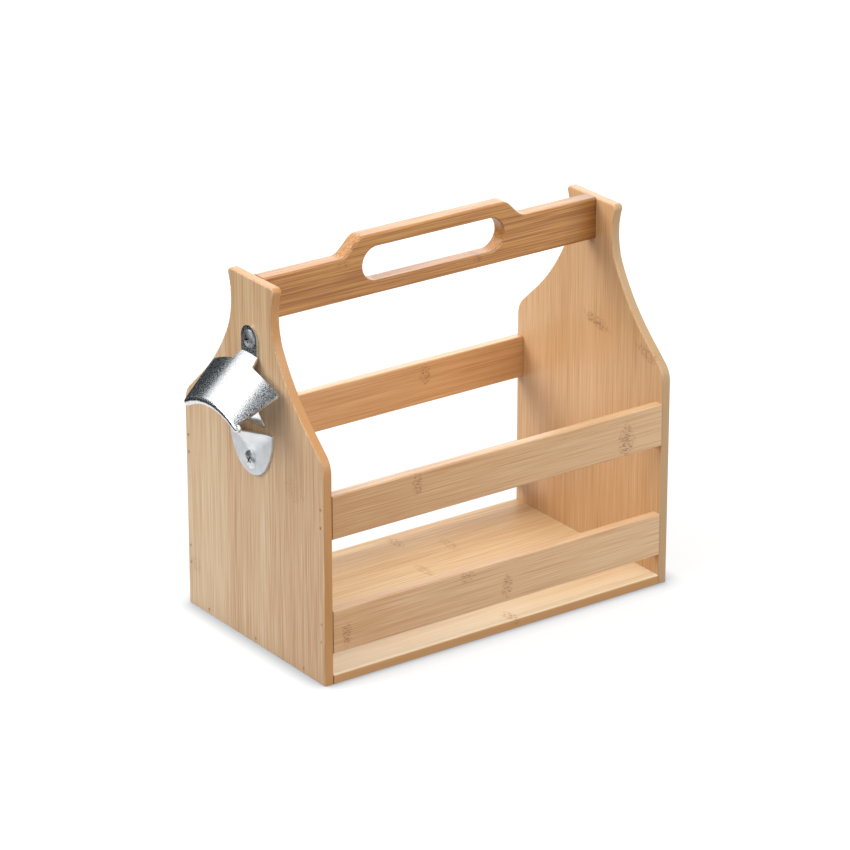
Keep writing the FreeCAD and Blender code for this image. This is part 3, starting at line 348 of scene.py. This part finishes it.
# Steel in the finishes of this caddy: zinc plate pressed into shape, zinc-plated screws, and plain brads.
# The plating is bright and a little clouded, and the rolled sheet under it leaves a fine pebbled grain.
# On the hood the clouds are as fine as the grain, and break the edges of its reflections into specks.
# The brads were set flush before the boards were lacquered, so their heads are tinted like the wood.
steelFinishes = {
    "zincPlatedHood": {"tint": "#F0F1F2", "cloud": "#B9BEC1", "smooth": 0.10, "coarse": 0.36,
                       "grain": 0.9, "cloudSize": 0.75, "bump": 0.00010},
    "satinZincStay": {"tint": "#F6F6F6", "cloud": "#ECEDEE", "smooth": 0.12, "coarse": 0.18,
                      "grain": 0.7, "cloudSize": 7.0, "bump": 0.00002},
    "satinZincScoop": {"tint": "#E9ECEE", "cloud": "#DDE0E3", "smooth": 0.50, "coarse": 0.58,
                       "grain": 0.7, "cloudSize": 7.0, "bump": 0.00003},
    # the upper screw is the same zinc-plated screw as the lower one; its darker tint is painted shade
    "upperZincScrewPaintedShade": {"tint": "#C4C7C9", "cloud": "#A6A9AC", "smooth": 0.34, "coarse": 0.44,
                      "grain": 0.6, "cloudSize": 1.5, "bump": 0.00004},
    "brightZincScrew": {"tint": "#DFE1E2", "cloud": "#CED0D2", "smooth": 0.28, "coarse": 0.36,
                        "grain": 0.6, "cloudSize": 2.5, "bump": 0.00002},
    # the drive's dark finish is painted shade in the cross recess
    "paintedShadeScrewDrive": {"tint": "#2A2C2E", "cloud": "#1E2022", "smooth": 0.45, "coarse": 0.60,
                       "grain": 0.4, "cloudSize": 1.0, "bump": 0.00002},
    "flushSteelBrad": {"tint": "#CFAE82", "cloud": "#B48F62", "smooth": 0.45, "coarse": 0.60,
                       "grain": 0.5, "cloudSize": 1.2, "bump": 0.00002},
}
steelPattern = {"cloudDetail": 3.0, "grainDetail": 2.0, "tintRange": (0.35, 0.65), "glossRange": (0.3, 0.7),
                "bumpStrength": 0.6}


def steelMaterial(name):
    look = steelFinishes[name]
    material, tree = newMaterial(name)
    place = addNode(tree, "ShaderNodeTexCoord")
    cloud = addNode(tree, "ShaderNodeTexNoise",
                    {"Vector": place.outputs["Object"], "Scale": metresToMm / look["cloudSize"],
                     "Detail": steelPattern["cloudDetail"]})
    grain = addNode(tree, "ShaderNodeTexNoise",
                    {"Vector": place.outputs["Object"], "Scale": metresToMm / look["grain"],
                     "Detail": steelPattern["grainDetail"]})
    ramp = addNode(tree, "ShaderNodeValToRGB", {0: cloud.outputs[0]})
    ramp.color_ramp.elements[0].position = steelPattern["tintRange"][0]
    ramp.color_ramp.elements[0].color = hexColour(look["cloud"])
    ramp.color_ramp.elements[1].position = steelPattern["tintRange"][1]
    ramp.color_ramp.elements[1].color = hexColour(look["tint"])
    gloss = addNode(tree, "ShaderNodeMapRange",
                    {"Value": cloud.outputs[0], "From Min": steelPattern["glossRange"][0],
                     "From Max": steelPattern["glossRange"][1],
                     "To Min": look["coarse"], "To Max": look["smooth"]})
    bump = addNode(tree, "ShaderNodeBump",
                   {"Height": grain.outputs[0], "Strength": steelPattern["bumpStrength"],
                    "Distance": look["bump"]})
    shader = addNode(tree, "ShaderNodeBsdfPrincipled",
                     {"Base Color": ramp.outputs[0], "Metallic": 1.0, "Roughness": gloss.outputs[0],
                      "Normal": bump.outputs[0]})
    addNode(tree, "ShaderNodeOutputMaterial", {"Surface": shader.outputs[0]})
    return material


brads = steelMaterial("flushSteelBrad")
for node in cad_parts:
    if node.endswith("_brads"):
        dress(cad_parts[node], brads)
print("dowels and brads dressed")


# The opener: each piece is a copy of its CAD solid. The pressed sheets get edges broken by tumbling,
# and the screws keep their turned edges.
openerPieces = [
    {"name": "opener_hood_pressed", "node": "opener_hood", "slot": "plated_steel",
     "finish": "zincPlatedHood", "edge": 0.0005, "segments": 3},
    {"name": "opener_stay_pressed", "node": "opener_stay", "slot": "plated_steel",
     "finish": "satinZincStay", "edge": 0.00035, "segments": 3},
    {"name": "opener_scoop_pressed", "node": "opener_scoop", "slot": "plated_steel",
     "finish": "satinZincScoop", "edge": 0.00035, "segments": 3},
    {"name": "opener_upper_screw_turned", "node": "opener_upper_screw", "slot": "screw_steel",
     "finish": "upperZincScrewPaintedShade", "driveShadeFinish": "paintedShadeScrewDrive"},
    {"name": "opener_lower_screw_turned", "node": "opener_lower_screw", "slot": "screw_steel",
     "finish": "brightZincScrew", "driveShadeFinish": "paintedShadeScrewDrive"},
]
driveRecess = {"reach": 0.0028, "floor": (0.0005, 0.001), "wall": 0.5}     # metres, and how steep a wall is
mergeGap = 1e-6          # metres, joins the loose triangles of a copied solid
flatAngle = math.radians(1)
edgeAngle = math.radians(40)


def steelFinish(name):
    return bpy.data.materials.get(name) or steelMaterial(name)


def mergedCopy(look):
    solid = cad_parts[look["node"]]
    piece = bpy.data.objects.new(look["name"], solid.data.copy())
    bpy.context.collection.objects.link(piece)
    bpy.ops.object.select_all(action="DESELECT")
    piece.select_set(True)
    bpy.context.view_layer.objects.active = piece
    bpy.ops.mesh.customdata_custom_splitnormals_clear()
    bpy.ops.object.mode_set(mode="EDIT")
    bpy.ops.mesh.select_all(action="SELECT")
    bpy.ops.mesh.remove_doubles(threshold=mergeGap)
    bpy.ops.object.mode_set(mode="OBJECT")
    return piece


def breakEdges(piece, look):
    bpy.ops.object.mode_set(mode="EDIT")
    bpy.ops.mesh.select_all(action="SELECT")
    bpy.ops.mesh.dissolve_limited(angle_limit=flatAngle)
    bpy.ops.object.mode_set(mode="OBJECT")
    bevel = piece.modifiers.new("brokenEdges", "BEVEL")
    bevel.limit_method = "ANGLE"
    bevel.angle_limit = edgeAngle
    bevel.width = look["edge"]
    bevel.segments = look["segments"]
    bpy.ops.object.modifier_apply(modifier=bevel.name)


def levelFaces(piece):
    # keeps the sheets' flat faces flat beside their rounded edges
    level = piece.modifiers.new("levelFaces", "WEIGHTED_NORMAL")
    level.keep_sharp = True
    bpy.ops.object.modifier_apply(modifier=level.name)


def paintShadeInDrive(piece, finish):
    # painted shade: the cross recess's walls and floor get a dark finish, standing in for the shade that falls
    # in it
    piece.data.materials.append(steelFinish(finish))
    crown = min(vertex.co.x for vertex in piece.data.vertices)
    heights = [vertex.co.z for vertex in piece.data.vertices]
    axis = (min(heights) + max(heights)) / 2
    shallow, deep = driveRecess["floor"]
    for face in piece.data.polygons:
        inside = math.hypot(face.center.y, face.center.z - axis) < driveRecess["reach"]
        depth = face.center.x - crown
        isWall = abs(face.normal.x) < driveRecess["wall"] and depth < deep
        isFloor = shallow < depth < deep
        if inside and (isWall or isFloor):
            face.material_index = 1


for look in openerPieces:
    piece = mergedCopy(look)
    if "edge" in look:
        breakEdges(piece, look)
    bpy.ops.object.shade_smooth_by_angle(angle=edgeAngle)
    if "edge" in look:
        levelFaces(piece)
    dress(piece, steelFinish(look["finish"]))
    if "driveShadeFinish" in look:
        paintShadeInDrive(piece, look["driveShadeFinish"])
    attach(piece, "root")
    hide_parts(look["node"])
print("opener dressed:", len(openerPieces), "pieces")


def seenAsWhite(tree):
    # 1 where the camera or a reflection looks, 0 for the light that falls on the caddy
    path = addNode(tree, "ShaderNodeLightPath")
    seen = path.outputs["Is Camera Ray"]
    for ray in ("Is Glossy Ray", "Is Transmission Ray"):
        either = addNode(tree, "ShaderNodeMath", {0: seen, 1: path.outputs[ray]}, operation="MAXIMUM")
        seen = either.outputs[0]
    return seen


# Pale paper sweep under the caddy. It glows white to the eye, less so near the caddy, where it keeps
# the shadow, and a painted contact shadow turns its glow blue-grey within a finger's width of the boards on it.
floorLook = {"size": 14.0, "drop": 0.0002, "paper": "#8A8A8A", "glow": (0.74, 1.0), "fade": (0.3, 1.2),
             "paintedContactShadow": {"reach": 0.015, "open": (0.5, 1.0), "colour": "#98A1AA"}}


def paleFloor(look):
    bpy.ops.object.select_all(action="DESELECT")
    bpy.ops.mesh.primitive_plane_add(size=look["size"], location=(0, 0, -look["drop"]))
    floor = bpy.context.active_object
    floor.name = "studio_floor"
    material, tree = newMaterial("mattPaperSweep")
    place = addNode(tree, "ShaderNodeTexCoord")
    away = addNode(tree, "ShaderNodeVectorMath", {0: place.outputs["Object"]}, operation="LENGTH")
    level = addNode(tree, "ShaderNodeMapRange",
                    {"Value": away.outputs["Value"], "From Min": look["fade"][0], "From Max": look["fade"][1],
                     "To Min": look["glow"][0], "To Max": look["glow"][1]})
    strength = addNode(tree, "ShaderNodeMath", {0: seenAsWhite(tree), 1: level.outputs[0]},
                       operation="MULTIPLY")
    paintedContactShadow = look["paintedContactShadow"]
    nearby = addNode(tree, "ShaderNodeAmbientOcclusion", {"Distance": paintedContactShadow["reach"]})
    opened = addNode(tree, "ShaderNodeMapRange",
                     {"Value": nearby.outputs["AO"], "From Min": paintedContactShadow["open"][0],
                      "From Max": paintedContactShadow["open"][1]})
    shade = addNode(tree, "ShaderNodeMix",
                    {0: opened.outputs[0], 6: hexColour(paintedContactShadow["colour"]), 7: (1, 1, 1, 1)},
                    data_type="RGBA")
    paper = addNode(tree, "ShaderNodeBsdfDiffuse", {"Color": hexColour(look["paper"])})
    glow = addNode(tree, "ShaderNodeEmission", {"Color": shade.outputs[2], "Strength": strength.outputs[0]})
    both = addNode(tree, "ShaderNodeAddShader", {0: paper.outputs[0], 1: glow.outputs[0]})
    addNode(tree, "ShaderNodeOutputMaterial", {"Surface": both.outputs[0]})
    dress(floor, material)


paleFloor(floorLook)


# Even white room. A wide softbox hangs overhead, a weak one stands behind, a small one and a wide fill
# light the opener's end, and one in front lights the slats.
roomLook = {"ambient": 0.33, "seenWhite": 1.0, "aim": (0.0, 0.0, 0.1)}
softboxes = [
    {"name": "topSoftbox", "place": (0.0, 0.4, 2.4), "size": (2.4, 2.4), "power": 35.0},
    {"name": "backSoftbox", "place": (0.0, 1.9, 1.5), "size": (2.6, 1.6), "power": 8.0},
    {"name": "sideSoftbox", "place": (-1.7, 1.1, 1.5), "size": (1.2, 1.2), "power": 26.0},
    {"name": "sideFill", "place": (-1.9, 0.5, 1.4), "size": (2.8, 2.2), "power": 34.0,
     "inReflections": False},
    {"name": "frontSoftbox", "place": (0.35, -2.4, 1.5), "size": (2.0, 1.4), "power": 50.0},
]


def whiteRoom(look):
    world = bpy.data.worlds.new("whiteRoom")
    bpy.context.scene.world = world
    world.use_nodes = True
    tree = world.node_tree
    tree.nodes.clear()
    strength = addNode(tree, "ShaderNodeMapRange",
                       {"Value": seenAsWhite(tree), "To Min": look["ambient"], "To Max": look["seenWhite"]})
    background = addNode(tree, "ShaderNodeBackground",
                         {"Color": (1, 1, 1, 1), "Strength": strength.outputs[0]})
    addNode(tree, "ShaderNodeOutputWorld", {"Surface": background.outputs[0]})


def softbox(look):
    lamp = bpy.data.lights.new(look["name"], "AREA")
    lamp.shape = "RECTANGLE"
    lamp.size, lamp.size_y = look["size"]
    lamp.energy = look["power"]
    stand = bpy.data.objects.new(look["name"], lamp)
    bpy.context.collection.objects.link(stand)
    stand.location = look["place"]
    stand.visible_glossy = look.get("inReflections", True)
    aim = Vector(roomLook["aim"]) - stand.location
    stand.rotation_euler = aim.to_track_quat("-Z", "Y").to_euler()


whiteRoom(roomLook)
for look in softboxes:
    softbox(look)


# Cards that are only seen as reflections: the unlit end of the room to the left and behind, the brown of
# the boards in front, a dark ceiling over the opener, the dark behind the camera, a white reflector above
# the hood, and a bright window that puts a pale sheen on the boards' upper edges
unlitRoom = "#2B3034"
upright = (90, 0, 0)
studioCards = [
    {"name": "card_left_floor", "place": (-0.99, 0.25, 0.001), "size": (1.2, 1.5), "paint": unlitRoom},
    {"name": "card_far_floor", "place": (-0.22, 0.675, 0.0012), "size": (0.34, 0.6), "paint": unlitRoom},
    {"name": "card_front_floor", "place": (-0.115, -0.21, 0.001), "size": (0.17, 0.16), "paint": "#6B543C"},
    {"name": "card_rear", "place": (-0.16, 0.95, 0.33), "size": (0.92, 0.66), "turn": upright,
     "paint": unlitRoom},
    {"name": "card_rear_left", "place": (-1.17, 0.95, 0.425), "size": (1.1, 0.85), "turn": upright,
     "paint": unlitRoom},
    {"name": "card_ceiling", "place": (-0.9, -0.11, 1.6), "size": (1.1, 0.98), "paint": "#363C40"},
    {"name": "card_camera", "place": (-1.85, -2.57, 1.45), "size": (1.5, 1.1), "turn": (90, 0, -35.7),
     "paint": "#22262A"},
    {"name": "card_reflector", "place": (-0.85, 0.9, 1.6), "size": (1.0, 0.96), "paint": "#FFFFFF",
     "strength": 1.7},
    {"name": "card_window", "place": (0.9, 1.25, 0.78), "size": (1.5, 1.1), "turn": (65, 0, -35.7),
     "paint": "#FFFFFF", "strength": 2.6},
]


def studioCard(look):
    bpy.ops.object.select_all(action="DESELECT")
    turn = tuple(math.radians(angle) for angle in look.get("turn", (0, 0, 0)))
    bpy.ops.mesh.primitive_plane_add(size=1.0, location=look["place"], rotation=turn)
    card = bpy.context.active_object
    card.name = look["name"]
    card.scale = (*look["size"], 1.0)
    material, tree = newMaterial("mattCard_" + look["name"])
    paint = addNode(tree, "ShaderNodeEmission",
                    {"Color": hexColour(look["paint"]), "Strength": look.get("strength", 1.0)})
    addNode(tree, "ShaderNodeOutputMaterial", {"Surface": paint.outputs[0]})
    dress(card, material)
    card.visible_camera = False
    card.visible_diffuse = False
    card.visible_shadow = False


for look in studioCards:
    studioCard(look)


# Camera at the photograph's viewing angle
cameraLook = {"place": (-1.4797, -2.0581, 1.1640), "aim": (-0.0003, 0.0042, 0.1178),
              "lens": 178.06, "sensor": 36.0}


def studioCamera(look):
    lens = bpy.data.cameras.new("camera")
    lens.lens = look["lens"]
    lens.sensor_width = look["sensor"]
    camera = bpy.data.objects.new("camera", lens)
    bpy.context.collection.objects.link(camera)
    camera.location = look["place"]
    aim = Vector(look["aim"]) - camera.location
    camera.rotation_euler = aim.to_track_quat("-Z", "Y").to_euler()
    bpy.context.scene.camera = camera


studioCamera(cameraLook)
bpy.context.scene.view_settings.view_transform = "Standard"
print("studio ready")
